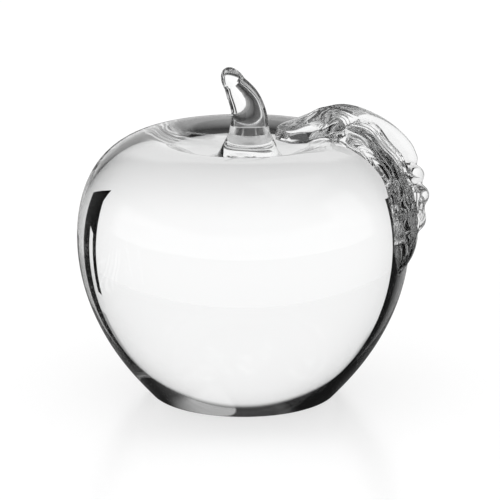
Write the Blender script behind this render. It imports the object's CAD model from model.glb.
import math

import bpy
import numpy as np
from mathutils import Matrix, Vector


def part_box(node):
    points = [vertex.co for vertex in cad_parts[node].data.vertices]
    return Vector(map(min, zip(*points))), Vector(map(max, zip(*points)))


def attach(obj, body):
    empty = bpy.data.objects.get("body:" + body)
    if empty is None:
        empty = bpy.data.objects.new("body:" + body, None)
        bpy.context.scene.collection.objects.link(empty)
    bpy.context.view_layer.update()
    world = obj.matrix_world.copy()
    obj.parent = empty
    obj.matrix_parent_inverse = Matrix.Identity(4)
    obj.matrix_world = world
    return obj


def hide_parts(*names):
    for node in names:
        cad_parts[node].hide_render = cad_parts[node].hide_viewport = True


# Clear glass apple: a solid body, a horn of a stem and a veined leaf, on a white table in a white studio.
# Sizes are in millimetres, degrees or shares of a size. Meshes are in metres, in the frame's own axes.

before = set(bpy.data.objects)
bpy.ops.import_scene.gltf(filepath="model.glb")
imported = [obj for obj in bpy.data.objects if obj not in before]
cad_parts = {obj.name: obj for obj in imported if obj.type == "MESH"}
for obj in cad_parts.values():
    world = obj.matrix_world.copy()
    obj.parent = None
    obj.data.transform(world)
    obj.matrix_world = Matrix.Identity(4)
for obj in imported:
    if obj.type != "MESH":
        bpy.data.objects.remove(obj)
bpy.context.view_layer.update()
mm = 0.001
scene = bpy.context.scene


def smoothStep(start, end, x):
    # 0 before start, 1 after end, an even S between them
    share = np.clip((x - start) / (end - start), 0.0, 1.0)
    return share * share * (3.0 - 2.0 * share)


def signedPower(x, power):
    return np.sign(x) * np.abs(x) ** power


def bell(x, centre, width):
    # bell curve of height 1, which falls to a third one width from its centre
    return np.exp(-(((x - centre) / width) ** 2))


def window(x, start, end, soft):
    # 1 between start and end, 0 outside, soft at both
    return smoothStep(start - soft, start + soft, x) * (1.0 - smoothStep(end - soft, end + soft, x))


def splineThrough(points, startTangent, endTangent, samples):
    # cubic spline on chord lengths, with both end tangents given: its slopes keep the curvature from jumping
    # at the points
    p = np.asarray(points, float)
    chord = np.hypot(*np.diff(p, axis=0).T)
    rows = np.eye(len(p))
    right = np.zeros_like(p)
    right[0], right[-1] = startTangent, endTangent
    inner = np.arange(1, len(p) - 1)
    before, after = chord[:-1], chord[1:]
    rows[inner, inner - 1], rows[inner, inner], rows[inner, inner + 1] = after, 2 * (before + after), before
    step = np.diff(p, axis=0)
    right[1:-1] = 3 * ((after / before)[:, None] * step[:-1] + (before / after)[:, None] * step[1:])
    slope = np.linalg.solve(rows, right)
    knots = np.concatenate([[0.0], np.cumsum(chord)])
    u = np.linspace(0.0, knots[-1], samples)
    k = np.clip(np.searchsorted(knots, u, side="right") - 1, 0, len(p) - 2)
    h = chord[k][:, None]
    f = ((u - knots[k]) / chord[k])[:, None]
    return ((2 * f**3 - 3 * f**2 + 1) * p[k] + (f**3 - 2 * f**2 + f) * h * slope[k]
            + (3 * f**2 - 2 * f**3) * p[k + 1] + (f**3 - f**2) * h * slope[k + 1])


def stationCurve(x, knots, values):
    # smooth curve through stations that never swings past them: a slope is the weighted harmonic mean of the
    # slopes before and after it, and 0 where they differ in sign
    knots, values = np.asarray(knots, float), np.asarray(values, float)
    h = np.diff(knots)
    d = np.diff(values) / h
    slope = np.zeros_like(values)
    heavy, light = 2 * h[1:] + h[:-1], h[1:] + 2 * h[:-1]
    same = d[:-1] * d[1:] > 0
    safeBefore, safeAfter = np.where(same, d[:-1], 1.0), np.where(same, d[1:], 1.0)
    slope[1:-1] = np.where(same, (heavy + light) / (heavy / safeBefore + light / safeAfter), 0.0)
    slope[0], slope[-1] = d[0], d[-1]
    k = np.clip(np.searchsorted(knots, x, side="right") - 1, 0, len(knots) - 2)
    f = (x - knots[k]) / h[k]
    return ((2 * f**3 - 3 * f**2 + 1) * values[k] + (f**3 - 2 * f**2 + f) * h[k] * slope[k]
            + (3 * f**2 - 2 * f**3) * values[k + 1] + (f**3 - f**2) * h[k] * slope[k + 1])


def closedMesh(name, grid, sharpAngle=180.0):
    # rings (rows x around) joined by quads, wrapped round, and closed by a fan to the middle of each end's ring
    rows, around = grid.shape[:2]
    points = np.concatenate([grid.reshape(-1, 3), grid[:1].mean(1), grid[-1:].mean(1)]) * mm
    i, j = np.meshgrid(np.arange(rows - 1), np.arange(around), indexing="ij")
    k = (j + 1) % around
    here, above = i * around, (i + 1) * around
    quads = np.stack([here + j, here + k, above + k, above + j], -1).reshape(-1, 4)
    a = np.arange(around)
    b = (a + 1) % around
    firstPole, lastPole = rows * around, rows * around + 1
    lastRow = (rows - 1) * around
    fans = np.concatenate([np.stack([np.full(around, firstPole), b, a], -1),
                           np.stack([np.full(around, lastPole), lastRow + a, lastRow + b], -1)])
    triangles = np.concatenate([quads[:, [0, 1, 2]], quads[:, [0, 2, 3]], fans])
    corners = points[triangles]
    volume = np.einsum("ij,ij->", corners[:, 0], np.cross(corners[:, 1], corners[:, 2])) / 6
    if volume < 0:
        quads, fans = quads[:, ::-1], fans[:, ::-1]
    mesh = bpy.data.meshes.new(name)
    mesh.from_pydata(points.tolist(), [], quads.tolist() + fans.tolist())
    mesh.shade_smooth()
    mesh.set_sharp_from_angle(angle=math.radians(sharpAngle))
    mesh.update()
    piece = bpy.data.objects.new(name, mesh)
    scene.collection.objects.link(piece)
    print(f"{name}: {len(triangles)} triangles, {abs(volume) * 1e6:.1f} ml")
    return piece


# Body: one solid gather of glass turned about the Z axis, with a flat ground base and a dimple on top
body = dict(
    equatorHeight=42.8, baseDiameter=49.5, baseSlope=47.0, baseArris=0.6, flankInset=13.3, flankHeight=7.4,
    shoulderInset=8.3, shoulderDrop=4.7, rimDiameter=49.0, dimpleDepth=6.0, dimpleFloorDiameter=17.0,
    nominalDiameter=89.0, around=360, baseRows=10, arrisRows=6, sideRows=140, dimpleRows=50, floorRows=8,
    basePole=0.5, floorPole=0.4,  # radius of the first and the last ring, which a fan closes
    seatCentre=35.0, seatSideRows=600, seatDimpleRows=300,  # of the line that seats the other pieces
)
bodyLow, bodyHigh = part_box("apple_body")
body["height"] = bodyHigh.z / mm
body["widest"] = bodyHigh.x / mm


def sideCurve(samples):
    # radius and height up the outside, from the base's edge to the rim of the dimple
    radius = body["nominalDiameter"] / 2
    slope = math.radians(body["baseSlope"])
    points = [(body["baseDiameter"] / 2, 0.0),
              (radius - body["flankInset"], body["flankHeight"]),
              (radius, body["equatorHeight"]),
              (radius - body["shoulderInset"], body["height"] - body["shoulderDrop"]),
              (body["rimDiameter"] / 2, body["height"])]
    curve = splineThrough(points, (math.cos(slope), math.sin(slope)), (-1.0, 0.0), samples)
    curve[:, 0] *= np.where(curve[:, 1] > 0, np.minimum(1.0, body["widest"] / curve[:, 0].max()), 1.0)
    return curve


def dimpleCurve(samples):
    # radius and height from the rim down to the dimple's flat floor, level at both ends
    floorHeight = body["height"] - body["dimpleDepth"]
    points = [(body["rimDiameter"] / 2, body["height"]), (body["dimpleFloorDiameter"] / 2, floorHeight)]
    return splineThrough(points, (-1.0, 0.0), (-1.0, 0.0), samples)


def bodyOutline():
    # base from near the axis, a small round at its edge, side, dimple and floor, each as its own run of rows
    side = sideCurve(body["sideRows"])
    dimple = dimpleCurve(body["dimpleRows"])[1:]
    arris = body["baseArris"]
    flatRadius = np.linspace(body["basePole"], body["baseDiameter"] / 2 - arris, body["baseRows"])
    flat = np.stack([flatRadius, np.zeros(len(flatRadius))], -1)
    clear = side[side[:, 1] > arris * math.sin(math.radians(body["baseSlope"]))]
    turn = np.linspace(0.0, 1.0, body["arrisRows"] + 2)[1:-1, None]
    corner = np.array([[body["baseDiameter"] / 2, 0.0]])
    rounded = (1 - turn) ** 2 * flat[-1:] + 2 * turn * (1 - turn) * corner + turn**2 * clear[:1]
    floorRadius = np.linspace(dimple[-1, 0], body["floorPole"], body["floorRows"])[1:]
    floor = np.stack([floorRadius, np.full(len(floorRadius), dimple[-1, 1])], -1)
    return np.concatenate([flat, rounded, clear, dimple, floor])


def turned(outline, around):
    # every point of the outline carried round the Z axis
    angle = np.linspace(0.0, 2 * np.pi, around, endpoint=False)
    radius, height = outline[:, :1], outline[:, 1:]
    heights = np.broadcast_to(height, (len(outline), around))
    return np.stack([radius * np.cos(angle), radius * np.sin(angle), heights], -1)


# The body as a distance from a point on its axis at each angle of elevation, to seat the other pieces on it
seatCentre = body["seatCentre"]
seatLine = np.concatenate([sideCurve(body["seatSideRows"]), dimpleCurve(body["seatDimpleRows"])[1:],
                           np.array([[0.0, body["height"] - body["dimpleDepth"]]])])
seatAngle = np.arctan2(seatLine[:, 1] - seatCentre, seatLine[:, 0])
seatReach = np.hypot(seatLine[:, 0], seatLine[:, 1] - seatCentre)
seatTangent = np.gradient(seatLine, axis=0)
seatTangent /= np.hypot(*seatTangent.T)[:, None]


def bodyClearance(points):
    # how far each point stands out of the body (below 0 inside it), and the body's outward direction there
    radius = np.hypot(points[..., 0], points[..., 1])
    up = points[..., 2] - seatCentre
    angle = np.arctan2(up, radius)
    normalOut = np.interp(angle, seatAngle, seatTangent[:, 1])
    normalUp = -np.interp(angle, seatAngle, seatTangent[:, 0])
    reach = np.hypot(radius, up)
    lean = normalOut * np.cos(angle) + normalUp * np.sin(angle)
    safe = np.maximum(radius, 1e-6)
    outward = np.stack([normalOut * points[..., 0] / safe, normalOut * points[..., 1] / safe, normalUp], -1)
    return (reach - np.interp(angle, seatAngle, seatReach)) * lean, outward


def seated(points, sink):
    # points deeper in the body than sink are brought back to that depth, so that the bits look fused; a sink
    # below 0 holds them off the body
    clearance, outward = bodyClearance(points)
    lift = np.maximum(-sink - clearance, 0.0)
    return points + outward * lift[..., None]


# Stem: a cone of a foot in the dimple, a crease, and a horn that rises, bends left and goes on straight
stem = dict(
    offset=1.6, footDiameter=19.0, footSink=0.9, neckDiameter=10.6, neckHeight=7.3, rise=2.6, bendLength=7.6,
    lean=31.0, length=18.8, tipLength=4.8, depthShare=0.92, sink=0.25,
    underRows=12, footRows=46, hornRows=120, tipRows=40, around=144,
    footPole=0.5, tipPole=0.02,  # radius of the first ring, and angle from the last one to the tip
    hornWidths=[(0.0, 11.0), (2.9, 9.9), (6.0, 9.1), (8.9, 8.4), (11.6, 7.4), (14.0, 6.0)],
)


def hornLine(along):
    # the middle of the horn and its lean from upright: straight, then an even bend, then straight
    s = stem
    radius = s["bendLength"] / math.radians(s["lean"])
    turn = np.clip(along - s["rise"], 0.0, s["bendLength"]) / radius
    before = np.minimum(along, s["rise"])
    after = np.maximum(along - s["rise"] - s["bendLength"], 0.0)
    aside = radius * (1 - np.cos(turn)) + after * np.sin(turn)
    height = before + radius * np.sin(turn) + after * np.cos(turn)
    return s["offset"] - aside, height, turn


def stemSurface():
    # foot: a cone about the stem's axis; horn: ellipses square to its line, closed by a round tip
    s = stem
    floorHeight = body["height"] - body["dimpleDepth"]
    crease = floorHeight + s["neckHeight"]
    edgeHeight = floorHeight - s["footSink"]
    around = np.linspace(0.0, 2 * np.pi, s["around"], endpoint=False)
    underRadius = np.linspace(s["footPole"], s["footDiameter"] / 2, s["underRows"])[:-1]
    coneRadius = np.linspace(s["footDiameter"], s["neckDiameter"], s["footRows"]) / 2
    coneHeight = np.linspace(edgeHeight, crease, s["footRows"])
    footRadius = np.concatenate([underRadius, coneRadius])
    footHeight = np.concatenate([np.full(len(underRadius), edgeHeight), coneHeight])
    foot = np.stack([s["offset"] + footRadius[:, None] * np.cos(around), footRadius[:, None] * np.sin(around),
                     np.broadcast_to(footHeight[:, None], (len(footRadius), s["around"]))], -1)
    foot = seated(foot, s["sink"])
    tipStart = s["length"] - s["tipLength"]
    widths = np.array(s["hornWidths"])
    straight = np.linspace(0.0, tipStart, s["hornRows"])
    tipTurn = np.linspace(0.0, np.pi / 2 - s["tipPole"], s["tipRows"])[1:]
    along = np.concatenate([straight, tipStart + s["tipLength"] * np.sin(tipTurn)])
    hornWidth = stationCurve(straight, widths[:, 0], widths[:, 1])
    half = np.concatenate([hornWidth, widths[-1, 1] * np.cos(tipTurn)]) / 2
    middle, height, turn = (value[:, None] for value in hornLine(along))
    half = half[:, None]
    horn = np.stack([middle + half * np.cos(around) * np.cos(turn),
                     half * s["depthShare"] * np.sin(around) + 0 * turn,
                     crease + height + half * np.cos(around) * np.sin(turn)], -1)
    return np.concatenate([foot, horn])


# Leaf: a stalk in the dimple, then a blade whose near half lies on the body and whose far half stands up from
# the midrib. A place on it is a distance outwards from the axis (level to the rim, then down the side), a
# height off that line and an azimuth in degrees from +X. Along it, spans, places and runs are shares of its
# length; across it they go from the near edge (-1) over the midrib (0) to the far edge (1)
leaf = dict(
    rows=[  # share of the length, near edge, midrib, far edge, half of the thickness
        (0.00, (8.5, -1.0, 3.0), (8.9, 0.9, 3.5), (9.7, 2.9, 4.0), 1.2),
        (0.04, (10.4, -1.7, 3.5), (10.6, 1.0, 4.0), (11.0, 3.5, 5.0), 2.4),
        (0.10, (13.0, -2.4, 4.5), (13.0, 1.0, 5.0), (13.2, 4.3, 6.5), 3.2),
        (0.20, (16.7, -2.4, 5.0), (16.7, 2.0, 5.5), (16.7, 5.6, 7.0), 3.4),
        (0.27, (20.3, -1.0, -3.0), (20.6, 4.0, 3.0), (21.0, 7.2, 8.0), 3.0),
        (0.34, (26.5, 0.0, -23.0), (25.3, 5.2, 0.0), (26.4, 7.3, 10.5), 2.4),
        (0.42, (31.2, 0.0, -23.0), (29.5, 5.2, -2.0), (32.4, 7.0, 13.0), 1.8),
        (0.58, (40.4, 0.0, -23.0), (39.3, 3.0, -3.0), (45.0, 8.0, 12.0), 1.5),
        (0.74, (49.7, -0.3, -27.0), (49.4, 2.2, -7.5), (53.5, 7.2, 6.0), 1.6),
        (0.90, (59.3, -0.3, -28.0), (61.2, 2.3, -17.0), (63.2, 0.8, -9.5), 1.7),
        (1.00, (68.4, -0.6, -23.0), (69.0, -0.4, -21.5), (69.2, -0.6, -20.0), 0.5),
    ],
    crimpHeight=0.6, crimpPitch=0.08, crimpPeak=0.66, crimpSpan=(0.62, 0.86), edgeRoundness=0.75,
    length=75.0, meshRows=320, topAround=200, underAround=100, guideRows=900, step=0.004,
    edgeReach=0.96, lobeDrop=1.6, dropSpan=(0.6, 0.88), dropSoft=0.06,
    sink=0.25, film=0.2, filmAcross=(-2.0, -0.72), filmSpan=(0.35, 0.9), filmSoft=0.02,
    solidDepth=6.0, solidSpan=(0.36, 0.95), solidFarSpan=(0.76, 0.95),
    solidAcross=(-0.1, 0.25), solidUnder=-0.4,
    reliefRise=0.5, soft=0.03,
    # start, end, softness, share of the height
    beadRuns=[(0.35, 0.65, 0.015, 1.0), (0.685, 0.78, 0.01, 0.8), (0.82, 0.87, 0.01, 0.6)],
    beadHeight=0.5, beadWidth=0.2, beadAcross=-0.87,
    veinHeight=0.05, veinPitch=0.16, veinAcross=(-0.76, -0.16), veinSpan=(0.38, 0.73),
    veinSway=0.012, veinSways=3.0,
    ribHeight=0.5, ribPitch=0.14, ribHalf=0.21, ribSpan=(0.34, 0.86), ribSway=0.05, ribSways=7.0,
    foldDepth=1.8, foldPlace=0.31, foldSlant=0.085, foldFrom=0.95, foldWidth=0.9, foldAcross=(-0.05, 0.15),
    bulgeHeight=1.4, bulgePlace=0.315, bulgeLength=0.05, bulgeAcross=-0.2, bulgeWidth=0.55,
    fanHeight=0.09, fanPitch=1.8, fanPlace=0.25, fanAside=0.1, fanSpread=12.0,
    fanSpan=(0.275, 0.37), fanSoft=0.01, fanAcross=(-0.9, 0.3), fanFade=0.1,
    lobeHeight=0.2, lobePitch=2.2, lobeSlant=7.0, lobeSpan=(0.77, 0.9), lobeSoft=0.02, lobeAcross=(-0.1, 0.9),
    lobeFade=0.08,
    lumps=[(0.665, 0.6, 1.2), (0.745, 0.55, 1.4), (0.825, 0.5, 1.2)],  # place along, place across, height
    lumpLength=0.026, lumpWidth=0.38,
)
leafTable = np.array([(share, *near, *midrib, *far, half) for share, near, midrib, far, half in leaf["rows"]])
leafDown = sideCurve(leaf["guideRows"])[::-1]
leafGuide = np.concatenate([[[0.0, leafDown[0, 1]]], leafDown])
leafGuideLength = np.concatenate([[0.0], np.cumsum(np.hypot(*np.diff(leafGuide, axis=0).T))])
leafGuideTangent = np.gradient(leafGuide, leafGuideLength, axis=0)
leafGuideTangent /= np.hypot(*leafGuideTangent.T)[:, None]


def leafPlace(along, lift, azimuth):
    # point at a distance along the guide line, a height off it and an azimuth
    radius, height = (np.interp(along, leafGuideLength, leafGuide[:, n]) for n in (0, 1))
    tangentOut, tangentUp = (np.interp(along, leafGuideLength, leafGuideTangent[:, n]) for n in (0, 1))
    turn = np.radians(azimuth)
    out = radius - lift * tangentUp
    return np.stack([out * np.cos(turn), out * np.sin(turn), height + lift * tangentOut], -1)


def leafLines(share):
    # near edge, midrib and far edge, and half of the thickness
    p = leaf
    sizes = [stationCurve(share, leafTable[:, 0], leafTable[:, n]) for n in range(1, leafTable.shape[1])]
    start, end = p["crimpSpan"]
    ramp = p["crimpPitch"] / 2
    wave = smoothStep(start - ramp, start, share) * (1 - smoothStep(end, end + ramp, share))
    wave = wave * np.cos(2 * np.pi * (share - p["crimpPeak"]) / p["crimpPitch"])
    # the waves raise the far edge; under the lobes it lies lower, so that they stay within the solid's reach
    drop = p["lobeDrop"] * window(share, *p["dropSpan"], p["dropSoft"])
    sizes[7] = sizes[7] + p["crimpHeight"] * wave - drop
    return [leafPlace(*sizes[n:n + 3]) for n in (0, 3, 6)], sizes[9]


def leafTop(lines, across):
    # a parabola across the leaf through its near edge (-1), midrib (0) and far edge (+1)
    near, midrib, far = lines
    a = across[..., None]
    return near * a * (a - 1) / 2 + midrib * (1 - a**2) + far * a * (a + 1) / 2


def roundRidge(x, centre, half):
    # a ridge of that half width, nearly half round across
    fullness = 0.6  # 0.5 is a half round
    return np.clip(1.0 - ((x - centre) / half) ** 2, 0.0, 1.0) ** fullness


def ridges(x, pitch):
    # rounded ridges side by side, with a crease between each and the next
    return np.abs(np.sin(np.pi * x / pitch))


def leafRelief(along, across):
    # what is raised on the leaf's top, as a height: bead, veins, midrib, fold, bulge, fan and lobes
    p = leaf
    length = along * p["length"]
    beads = sum(share * window(along, start, end, soft) for start, end, soft, share in p["beadRuns"])
    bead = p["beadHeight"] * beads * roundRidge(across, p["beadAcross"], p["beadWidth"])
    sway = p["veinSway"] * np.sin(2 * np.pi * p["veinSways"] * along)
    veins = p["veinHeight"] * ridges(across + sway, p["veinPitch"])
    veins = veins * window(across, *p["veinAcross"], p["soft"]) * window(along, *p["veinSpan"], p["soft"])
    off = across - p["ribSway"] * np.sin(2 * np.pi * p["ribSways"] * along)
    rib = p["ribHeight"] * ridges(off, p["ribPitch"]) * window(off, -p["ribHalf"], p["ribHalf"], p["soft"])
    rib = rib * window(along, *p["ribSpan"], p["soft"])
    foldLine = p["foldPlace"] + p["foldSlant"] * (across + p["foldFrom"]) / p["foldFrom"]
    reach = length - p["length"] * foldLine
    fold = -p["foldDepth"] * bell(reach, 0.0, p["foldWidth"]) * (1.0 - smoothStep(*p["foldAcross"], across))
    bulge = bell(along, p["bulgePlace"], p["bulgeLength"]) * bell(across, p["bulgeAcross"], p["bulgeWidth"])
    bulge = p["bulgeHeight"] * bulge
    ring = np.hypot(length - p["fanPlace"] * p["length"], (across + p["fanAside"]) * p["fanSpread"])
    fan = p["fanHeight"] * ridges(ring, p["fanPitch"]) * window(along, *p["fanSpan"], p["fanSoft"])
    fan = fan * window(across, *p["fanAcross"], p["fanFade"])
    lobe = p["lobeHeight"] * ridges(length + across * p["lobeSlant"], p["lobePitch"])
    lobe = lobe * window(along, *p["lobeSpan"], p["lobeSoft"])
    lobe = lobe * window(across, *p["lobeAcross"], p["lobeFade"])
    return bead + veins + rib + fold + bulge + fan + lobe


def leafSurface():
    # a squared ellipse in every section, bent along the leaf's top, with the relief raised on it
    p = leaf
    share = np.linspace(0.0, 1.0, p["meshRows"])[:, None]
    turn = np.concatenate([np.linspace(0.0, np.pi, p["topAround"], endpoint=False),
                           np.linspace(np.pi, 2 * np.pi, p["underAround"], endpoint=False)])[None, :]
    across = p["edgeReach"] * signedPower(np.cos(turn), p["edgeRoundness"]) + 0 * share
    through = signedPower(np.sin(turn), p["edgeRoundness"])
    step = p["step"]
    lines, plainHalf = leafLines(share)
    before = leafLines(np.maximum(share - step, 0.0))[0]
    after = leafLines(np.minimum(share + step, 1.0))[0]
    forward = leafTop(after, across) - leafTop(before, across)
    aside = leafTop(lines, across + step) - leafTop(lines, across - step)
    normal = np.cross(forward, aside)
    normal /= np.linalg.norm(normal, axis=-1)[..., None]
    half = plainHalf
    for place, middle, height in p["lumps"]:
        half = half + height * bell(share, place, p["lumpLength"]) * bell(across, middle, p["lumpWidth"])
    lift = half * through - plainHalf * (1.0 - across**2)
    lift = lift + smoothStep(0.0, p["reliefRise"], through) * leafRelief(share, across)
    # the underside of the near half, and lower down of the far half too, goes down to the body: no hollow
    farHollow = 1.0 - window(share, *p["solidFarSpan"], p["soft"])
    solid = 1.0 - smoothStep(*p["solidAcross"], across) * farHollow
    solid = solid * window(share, *p["solidSpan"], p["soft"])
    lift = lift - p["solidDepth"] * smoothStep(0.0, p["solidUnder"], through) * solid
    # the leaf sinks into the body as if fused to it, but for a film of air under its near margin
    apart = window(across, *p["filmAcross"], p["soft"]) * window(share, *p["filmSpan"], p["filmSoft"])
    sink = p["sink"] - (p["sink"] + p["film"]) * apart
    return seated(leafTop(lines, across) + normal * lift[..., None], sink)


# Finishes
def wire(tree, source, target):
    tree.links.new(source, target)


def mathNode(tree, operation, first, second=None, third=None):
    node = tree.nodes.new("ShaderNodeMath")
    node.operation = operation
    for socket, value in zip(node.inputs, (first, second, third)):
        if value is None:
            continue
        if hasattr(value, "is_linked"):
            wire(tree, value, socket)
        else:
            socket.default_value = value
    return node.outputs[0]


def newGroup(name, inputs, outputs):
    # an empty node group with its sockets: name, kind and, for an input, a starting value
    group = bpy.data.node_groups.new(name, "ShaderNodeTree")
    for socket, kind, value in inputs:
        group.interface.new_socket(name=socket, in_out="INPUT", socket_type=kind).default_value = value
    for socket, kind in outputs:
        group.interface.new_socket(name=socket, in_out="OUTPUT", socket_type=kind)
    return group, group.nodes.new("NodeGroupInput"), group.nodes.new("NodeGroupOutput")


def noiseNode(group, vector, scale, detail):
    noise = group.nodes.new("ShaderNodeTexNoise")
    wire(group, vector, noise.inputs["Vector"])
    wire(group, scale, noise.inputs["Scale"])
    noise.inputs["Detail"].default_value = detail
    return noise.outputs["Fac"]


def handWorkedGroup():
    # the slow unevenness that tools leave in hot glass: a height between 0 and 1
    group, given, made = newGroup(
        "handWorked",
        [("Place", "NodeSocketVector", (0, 0, 0)), ("Scale", "NodeSocketFloat", 30.0)],
        [("Height", "NodeSocketFloat")])
    wire(group, noiseNode(group, given.outputs["Place"], given.outputs["Scale"], 1.0), made.inputs["Height"])
    return group


def handlingGroup():
    # roughness: faint smudges from handling, and the ground edge that the piece stands on
    group, given, made = newGroup(
        "handling",
        [("Place", "NodeSocketVector", (0, 0, 0)), ("Scale", "NodeSocketFloat", 60.0),
         ("Smudge", "NodeSocketFloat", 0.01), ("Ground", "NodeSocketFloat", 0.1),
         ("Ground Height", "NodeSocketFloat", 0.0005)],
        [("Roughness", "NodeSocketFloat")])
    clouds = noiseNode(group, given.outputs["Place"], given.outputs["Scale"], 3.0)
    patches = mathNode(group, "POWER", clouds, 4.0)
    smudges = mathNode(group, "MULTIPLY", patches, given.outputs["Smudge"])
    place = group.nodes.new("ShaderNodeSeparateXYZ")
    wire(group, given.outputs["Place"], place.inputs[0])
    below = mathNode(group, "LESS_THAN", place.outputs["Z"], given.outputs["Ground Height"])
    roughness = mathNode(group, "MULTIPLY_ADD", below, given.outputs["Ground"], smudges)
    wire(group, roughness, made.inputs["Roughness"])
    return group


def castGroup():
    # colour: clear glass with streaks of the least cast, where the melt wasn't quite even
    group, given, made = newGroup(
        "cast",
        [("Place", "NodeSocketVector", (0, 0, 0)), ("Scale", "NodeSocketFloat", 25.0),
         ("Clear", "NodeSocketColor", (1, 1, 1, 1)), ("Cast", "NodeSocketColor", (0.99, 0.995, 0.995, 1))],
        [("Color", "NodeSocketColor")])
    mix = group.nodes.new("ShaderNodeMix")
    mix.data_type = "RGBA"
    wire(group, noiseNode(group, given.outputs["Place"], given.outputs["Scale"], 2.0), mix.inputs["Factor"])
    wire(group, given.outputs["Clear"], mix.inputs["A"])
    wire(group, given.outputs["Cast"], mix.inputs["B"])
    wire(group, mix.outputs["Result"], made.inputs["Color"])
    return group


glassGroups = dict(handWorked=handWorkedGroup(), handling=handlingGroup(), cast=castGroup())
glassLooks = dict(  # wave and ground heights in millimetres, scales per metre
    glassBody=dict(
        ior=1.5, waveScale=22.0, waveHeight=0.004, smudge=0.012, smudgeScale=55.0,
        ground=0.08, groundHeight=0.4),
    glassStem=dict(
        ior=1.5, waveScale=120.0, waveHeight=0.004, smudge=0.01, smudgeScale=140.0,
        ground=0.0, groundHeight=0.0),
    glassLeaf=dict(
        ior=1.5, waveScale=160.0, waveHeight=0.004, smudge=0.015, smudgeScale=160.0,
        ground=0.0, groundHeight=0.0),
)


def clearGlass(name, look):
    # clear glass: even but for its waviness, its smudges and its ground edge
    material = bpy.data.materials.new(name)
    material.use_nodes = True
    tree = material.node_tree
    shader = tree.nodes["Principled BSDF"]
    shader.inputs["IOR"].default_value = look["ior"]
    shader.inputs["Transmission Weight"].default_value = 1.0
    place = tree.nodes.new("ShaderNodeTexCoord").outputs["Object"]

    def groupNode(name, **values):
        node = tree.nodes.new("ShaderNodeGroup")
        node.node_tree = glassGroups[name]
        wire(tree, place, node.inputs["Place"])
        for socket, value in values.items():
            node.inputs[socket].default_value = value
        return node.outputs[0]

    wire(tree, groupNode("cast", Scale=look["smudgeScale"]), shader.inputs["Base Color"])
    handling = {"Scale": look["smudgeScale"], "Smudge": look["smudge"], "Ground": look["ground"],
                "Ground Height": look["groundHeight"] * mm}
    wire(tree, groupNode("handling", **handling), shader.inputs["Roughness"])
    bump = tree.nodes.new("ShaderNodeBump")
    bump.inputs["Distance"].default_value = look["waveHeight"] * mm
    wire(tree, groupNode("handWorked", Scale=look["waveScale"]), bump.inputs["Height"])
    wire(tree, bump.outputs["Normal"], shader.inputs["Normal"])
    return material


pieces = {
    "glassBody": ("apple_body", "body_glass", turned(bodyOutline(), body["around"]), 180.0),
    "glassStem": ("stem", "stem_glass", stemSurface(), 35.0),
    "glassLeaf": ("leaf", "leaf_glass", leafSurface(), 180.0),
}
for name, (node, slot, grid, sharpAngle) in pieces.items():
    piece = closedMesh(name, grid, sharpAngle)
    piece.data.materials.append(clearGlass(name + "Clear", glassLooks[name]))
    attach(piece, "root")
    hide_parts(node)

# Camera: a long lens in front, above level, aimed so that the body's axis and one known height fall on their
# pixels
view = dict(
    elevation=15.5, distance=900.0, sensor=36.0, picture=500.0,  # the picture's side in pixels
    pixel=0.268,  # size of a pixel at the axis
    axisPixel=243.5, heightPixel=262.0, heightThere=35.66,
)


def makeCamera():
    lean = math.radians(view["elevation"])
    data = bpy.data.cameras.new("camera")
    data.sensor_width = view["sensor"]
    data.lens = view["sensor"] * view["distance"] / (view["picture"] * view["pixel"])
    middle = view["picture"] / 2
    camera = bpy.data.objects.new("camera", data)
    scene.collection.objects.link(camera)
    aim = np.array([(middle - view["axisPixel"]) * view["pixel"], 0.0,
                    view["heightThere"] + (view["heightPixel"] - middle) * view["pixel"] / math.cos(lean)])
    camera.location = (aim + view["distance"] * np.array([0.0, -math.cos(lean), math.sin(lean)])) * mm
    camera.rotation_euler = (math.pi / 2 - lean, 0.0, 0.0)
    scene.camera = camera


makeCamera()

# Studio: a white dome, a white table that shades and mirrors softly, and dark cards beside the glass that
# draw its edges; only rays that have gone through the glass see the cards
studio = dict(
    dome=0.10,
    # azimuth from straight behind the glass, half width, elevation, half height, softness, brightness
    panels=[
        ("lowRing", 0.0, 190.0, -35.0, 55.0, 5.0, 0.9),
        ("backdrop", 0.0, 52.0, 0.0, 43.0, 5.0, 1.0),
        ("sideLeft", -87.0, 22.0, 5.0, 30.0, 6.0, 0.75),
        ("sideRight", 87.0, 24.0, 5.0, 34.0, 6.0, 0.8),
        ("highLeftDark", -105.0, 57.0, 42.0, 22.0, 5.0, 0.004),
        ("highRightGrey", 97.0, 47.0, 72.0, 20.0, 5.0, 0.46),
        ("ceilingDark", -108.0, 108.0, 90.0, 24.0, 5.0, 0.05),
    ],
    # where reflections off the outside of the glass are held back, as a polarising filter holds them
    held=[
        ("heldLeft", -52.0, 27.0, 5.0, 45.0, 6.0),
        ("heldRight", 52.0, 27.0, 5.0, 45.0, 6.0),
    ],
    front=("heldFront", 180.0, 45.0, 0.0, 60.0, 10.0),  # where reflections inside the glass are held back
    heldShare=0.97,
    tableAlbedo=0.35, tableGlow=0.76, tableRoughness=0.25, tableIor=1.4, tableGloss=0.2,
    tableSide=3000.0, tableDrop=0.05,  # the table lies this much under the base
    tableNear=(50.0, 140.0), tableNearShade=0.25,  # the glass sees the table darker close by
    # distance behind the axis, and share of the table's light that inside reflections, and rays through two
    # pieces, see there
    tableInside=[
        (-14.0, 0.03), (-9.0, 0.95), (-2.0, 0.95), (2.0, 0.1), (11.0, 0.03),
        (30.0, 1.0), (36.0, 1.0), (42.0, 0.1), (56.0, 0.1), (64.0, 1.0),
    ],
    onePiece=3.5,  # a ray crosses two surfaces of each piece that it goes through
    # picked by its look: a path that is still in the glass after so many ends as black, which darkens the leaf
    bounces=24,
)
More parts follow.
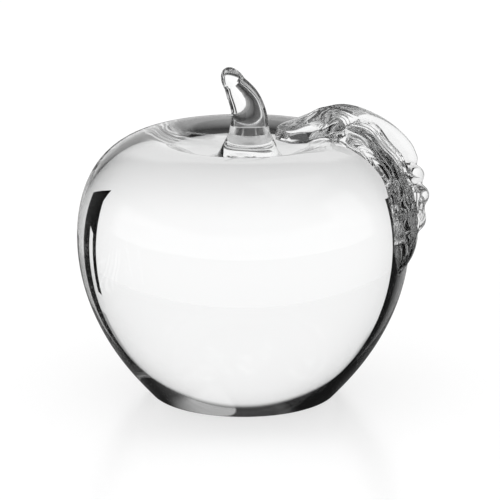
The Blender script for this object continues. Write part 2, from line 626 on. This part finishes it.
# Cards that stand beside the back of the body: corners (across the card, toward the body, up) and the
# brightness at each
cards = dict(
    eye=(7.0, 44.0),  # where the rays that meet a card leave the back of the body, aside and behind
    distance=72.0, azimuth=59.5,
    right=[
        ("coreRight", [(-2.0, 0, 0), (9.0, 0, 0), (9.0, 0, 83.0), (-2.0, 0, 83.0)], (0.0, 0.0, 0.0, 0.0)),
        ("footRight", [(-7.0, 0, 0), (-2.0, 0, 0), (-2.0, 0, 15.0), (-7.0, 0, 17.0)], (0.0, 0.0, 0.0, 0.0)),
        ("innerRight", [(-12.0, 0, 0), (-7.0, 0, 0), (-7.0, 0, 36.0), (-11.0, 0, 36.0)],
         (0.0, 0.0, 0.0, 0.0)),
        ("greyRight", [(-7.0, 0, 44.0), (-2.0, 0, 44.0), (-2.0, 0, 83.0), (-7.0, 0, 83.0)],
         (0.5, 0.45, 0.45, 0.5)),
        ("toeRight", [(-12.0, 0, 0.1), (9.0, 0, 0.1), (9.0, 2.0, 0.1), (-13.0, 17.0, 0.1)],
         (0.0, 0.0, 0.0, 0.0)),
    ],
    left=[
        ("coreLeft", [(-9.0, 0, 0), (0.0, 0, 0), (0.0, 0, 83.0), (-9.0, 0, 83.0)], (0.0, 0.004, 0.004, 0.0)),
        ("fadeLeft", [(0.0, 0, 0), (13.0, 0, 0), (13.0, 0, 83.0), (0.0, 0, 83.0)], (0.004, 0.3, 0.3, 0.004)),
        ("paleLeft", [(13.0, 0, 0), (22.0, 0, 0), (22.0, 0, 83.0), (13.0, 0, 83.0)], (0.3, 0.5, 0.5, 0.3)),
    ],
    flags=[  # black, just out of the camera's view beside the leaf
        ("flagRight", [(73.0, 5.0, 55.0), (73.0, 70.0, 55.0), (73.0, 70.0, 95.0), (73.0, 5.0, 95.0)]),
        ("flagLow", [(73.0, 15.0, 25.0), (73.0, 60.0, 25.0), (73.0, 60.0, 55.0), (73.0, 15.0, 55.0)]),
    ],
)


def softPanelGroup():
    # 1 inside a box of azimuth and elevation, 0 outside it, an even S across its soft edge
    group = bpy.data.node_groups.new("softPanel", "ShaderNodeTree")
    names = ("Azimuth", "Elevation", "Toward", "Half Width", "Height", "Half Height", "Softness")
    for name in names:
        group.interface.new_socket(name, in_out="INPUT", socket_type="NodeSocketFloat")
    group.interface.new_socket("Mask", in_out="OUTPUT", socket_type="NodeSocketFloat")
    inlet = group.nodes.new("NodeGroupInput").outputs
    outlet = group.nodes.new("NodeGroupOutput").inputs
    turn = mathNode(group, "SUBTRACT", inlet["Azimuth"], inlet["Toward"])
    turn = mathNode(group, "ABSOLUTE", mathNode(group, "WRAP", turn, 180.0, -180.0))
    rise = mathNode(group, "ABSOLUTE", mathNode(group, "SUBTRACT", inlet["Elevation"], inlet["Height"]))
    sides = []
    for off, half in ((turn, inlet["Half Width"]), (rise, inlet["Half Height"])):
        edge = group.nodes.new("ShaderNodeMapRange")
        edge.interpolation_type = "SMOOTHSTEP"
        wire(group, off, edge.inputs["Value"])
        wire(group, mathNode(group, "SUBTRACT", half, inlet["Softness"]), edge.inputs["From Min"])
        wire(group, mathNode(group, "ADD", half, inlet["Softness"]), edge.inputs["From Max"])
        edge.inputs["To Min"].default_value = 1.0
        edge.inputs["To Max"].default_value = 0.0
        sides.append(edge.outputs["Result"])
    wire(group, mathNode(group, "MULTIPLY", *sides), outlet["Mask"])
    return group


def outsideReflection(tree, path):
    # 1 on rays that bounced off the outside of the glass and never went through it
    before = mathNode(tree, "LESS_THAN", path.outputs["Transmission Depth"], 0.5)
    bounced = mathNode(tree, "MULTIPLY", path.outputs["Is Glossy Ray"], path.outputs["Is Reflection Ray"])
    return mathNode(tree, "MULTIPLY", before, bounced)


def insideReflection(tree, path):
    # 1 on rays that went into the glass and have bounced off a surface since the camera
    after = mathNode(tree, "GREATER_THAN", path.outputs["Transmission Depth"], 0.5)
    bounced = mathNode(tree, "GREATER_THAN", path.outputs["Glossy Depth"], 0.5)
    return mathNode(tree, "MULTIPLY", after, bounced)


def makeDome():
    world = bpy.data.worlds.new("dome")
    scene.world = world
    world.use_nodes = True
    tree = world.node_tree
    direction = tree.nodes.new("ShaderNodeSeparateXYZ")
    wire(tree, tree.nodes.new("ShaderNodeTexCoord").outputs["Generated"], direction.inputs[0])
    azimuth = mathNode(tree, "ARCTAN2", direction.outputs["X"], direction.outputs["Y"])
    azimuth = mathNode(tree, "DEGREES", azimuth)
    elevation = mathNode(tree, "DEGREES", mathNode(tree, "ARCSINE", direction.outputs["Z"]))
    group = softPanelGroup()

    def panelMask(name, *sizes):
        panel = tree.nodes.new("ShaderNodeGroup")
        panel.node_tree = group
        panel.label = name
        wire(tree, azimuth, panel.inputs["Azimuth"])
        wire(tree, elevation, panel.inputs["Elevation"])
        for socket, value in zip(("Toward", "Half Width", "Height", "Half Height", "Softness"), sizes):
            panel.inputs[socket].default_value = value
        return panel.outputs["Mask"]

    level = studio["dome"]
    for name, *sizes, brightness in studio["panels"]:
        mix = tree.nodes.new("ShaderNodeMix")
        wire(tree, panelMask(name, *sizes), mix.inputs["Factor"])
        if isinstance(level, float):
            mix.inputs["A"].default_value = level
        else:
            wire(tree, level, mix.inputs["A"])
        mix.inputs["B"].default_value = brightness
        level = mix.outputs["Result"]
    path = tree.nodes.new("ShaderNodeLightPath")
    held = mathNode(tree, "MAXIMUM", *(panelMask(*panel) for panel in studio["held"]))
    held = mathNode(tree, "MULTIPLY", held, outsideReflection(tree, path))
    inside = mathNode(tree, "MULTIPLY", panelMask(*studio["front"]), insideReflection(tree, path))
    held = mathNode(tree, "MULTIPLY", mathNode(tree, "MAXIMUM", held, inside), studio["heldShare"])
    level = mathNode(tree, "MULTIPLY", level, mathNode(tree, "SUBTRACT", 1.0, held))
    plain = mathNode(tree, "MAXIMUM", path.outputs["Is Camera Ray"], path.outputs["Is Diffuse Ray"])
    seen = mathNode(tree, "MAXIMUM", level, plain)
    wire(tree, seen, tree.nodes["Background"].inputs["Strength"])
    tree.nodes["Background"].inputs["Color"].default_value = (1.0, 1.0, 1.0, 1.0)
    print(f"dome: {len(studio['panels'])} panels")


def flatPiece(name, corners):
    mesh = bpy.data.meshes.new(name)
    mesh.from_pydata((np.array(corners) * mm).tolist(), [], [tuple(range(len(corners)))])
    piece = bpy.data.objects.new(name, mesh)
    scene.collection.objects.link(piece)
    return piece


def makeTable():
    half = studio["tableSide"] / 2
    level = -studio["tableDrop"]
    corners = [(-half, -half, level), (half, -half, level), (half, half, level), (-half, half, level)]
    table = flatPiece("table", corners)
    material = bpy.data.materials.new("tableWhite")
    material.use_nodes = True
    tree = material.node_tree
    tree.nodes.remove(tree.nodes["Principled BSDF"])
    matt = tree.nodes.new("ShaderNodeBsdfDiffuse")
    glow = tree.nodes.new("ShaderNodeEmission")
    path = tree.nodes.new("ShaderNodeLightPath")
    place = tree.nodes.new("ShaderNodeSeparateXYZ")
    coordinates = tree.nodes.new("ShaderNodeTexCoord").outputs["Object"]
    wire(tree, coordinates, place.inputs[0])
    start, end = studio["tableInside"][0][0] * mm, studio["tableInside"][-1][0] * mm
    ahead = tree.nodes.new("ShaderNodeMapRange")
    wire(tree, place.outputs["Y"], ahead.inputs["Value"])
    ahead.inputs["From Min"].default_value = start
    ahead.inputs["From Max"].default_value = end
    bands = tree.nodes.new("ShaderNodeValToRGB")
    wire(tree, ahead.outputs["Result"], bands.inputs[0])
    stops = bands.color_ramp.elements
    while len(stops) < len(studio["tableInside"]):
        stops.new(0.5)
    for stop, (behind, share) in zip(stops, studio["tableInside"]):
        stop.position = (behind * mm - start) / (end - start)
        stop.color = (share, share, share, 1.0)
    unseen = mathNode(tree, "SUBTRACT", 1.0, bands.outputs["Color"])
    twice = mathNode(tree, "GREATER_THAN", path.outputs["Transmission Depth"], studio["onePiece"])
    inside = mathNode(tree, "MAXIMUM", insideReflection(tree, path), twice)
    inside = mathNode(tree, "MULTIPLY", inside, unseen)
    dimmed = mathNode(tree, "MAXIMUM", outsideReflection(tree, path), inside)
    shown = mathNode(tree, "MULTIPLY_ADD", dimmed, -studio["heldShare"], 1.0)
    away = tree.nodes.new("ShaderNodeVectorMath")
    away.operation = "LENGTH"
    wire(tree, coordinates, away.inputs[0])
    near = tree.nodes.new("ShaderNodeMapRange")
    near.interpolation_type = "SMOOTHSTEP"
    wire(tree, away.outputs["Value"], near.inputs["Value"])
    near.inputs["From Min"].default_value = studio["tableNear"][1] * mm
    near.inputs["From Max"].default_value = studio["tableNear"][0] * mm
    near = mathNode(tree, "MULTIPLY", near.outputs["Result"], path.outputs["Is Transmission Ray"])
    nearShade = mathNode(tree, "MULTIPLY_ADD", near, -studio["tableNearShade"], 1.0)
    shown = mathNode(tree, "MULTIPLY", shown, nearShade)
    wire(tree, mathNode(tree, "MULTIPLY", shown, studio["tableGlow"]), glow.inputs["Strength"])
    tint = tree.nodes.new("ShaderNodeCombineColor")
    for channel in tint.inputs:
        wire(tree, mathNode(tree, "MULTIPLY", shown, studio["tableAlbedo"]), channel)
    wire(tree, tint.outputs[0], matt.inputs["Color"])
    both = tree.nodes.new("ShaderNodeAddShader")
    gloss = tree.nodes.new("ShaderNodeBsdfAnisotropic")
    gloss.inputs["Roughness"].default_value = studio["tableRoughness"]
    fresnel = tree.nodes.new("ShaderNodeFresnel")
    fresnel.inputs["IOR"].default_value = studio["tableIor"]
    mix = tree.nodes.new("ShaderNodeMixShader")
    wire(tree, matt.outputs[0], both.inputs[0])
    wire(tree, glow.outputs[0], both.inputs[1])
    wire(tree, mathNode(tree, "MINIMUM", fresnel.outputs[0], studio["tableGloss"]), mix.inputs[0])
    wire(tree, both.outputs[0], mix.inputs[1])
    wire(tree, gloss.outputs[0], mix.inputs[2])
    wire(tree, mix.outputs[0], tree.nodes["Material Output"].inputs["Surface"])
    table.data.materials.append(material)
    print(f"table: {len(studio['tableInside'])} bands")


def cardMaterial():
    # shows the brightness written on the corners
    material = bpy.data.materials.new("cardShade")
    material.use_nodes = True
    tree = material.node_tree
    tree.nodes.remove(tree.nodes["Principled BSDF"])
    shade = tree.nodes.new("ShaderNodeAttribute")
    shade.attribute_name = "shade"
    glow = tree.nodes.new("ShaderNodeEmission")
    wire(tree, shade.outputs["Fac"], glow.inputs["Strength"])
    wire(tree, glow.outputs[0], tree.nodes["Material Output"].inputs["Surface"])
    return material


def makeCard(name, places, shades, material):
    card = flatPiece(name, places)
    attribute = card.data.attributes.new("shade", "FLOAT", "POINT")
    attribute.data.foreach_set("value", shades)
    card.data.materials.append(material)
    card.visible_camera = False
    card.visible_diffuse = False
    card.visible_shadow = False
    card.visible_glossy = False


def makeCards(side, sheets, material):
    # each card stands square to the line from its eye point, on the right (side 1) or the left (side -1)
    turn = math.radians(cards["azimuth"])
    toward = np.array([side * math.sin(turn), math.cos(turn)])
    aside = np.array([side * math.cos(turn), -math.sin(turn)])
    middle = np.array([-side * cards["eye"][0], cards["eye"][1]]) + toward * cards["distance"]
    for name, corners, shades in sheets:
        places = [(*(middle + aside * across - toward * near), height) for across, near, height in corners]
        makeCard(name, places, shades, material)


makeDome()
makeTable()
cardShade = cardMaterial()
makeCards(1, cards["right"], cardShade)
makeCards(-1, cards["left"], cardShade)
for flagName, flagCorners in cards["flags"]:
    makeCard(flagName, flagCorners, (0.0, 0.0, 0.0, 0.0), cardShade)
print(f"cards: {len(cards['right']) + len(cards['left']) + len(cards['flags'])}")

scene.view_settings.view_transform = "Standard"
scene.cycles.max_bounces = studio["bounces"]
scene.cycles.transmission_bounces = studio["bounces"]
scene.cycles.glossy_bounces = studio["bounces"]

print("boxes written")
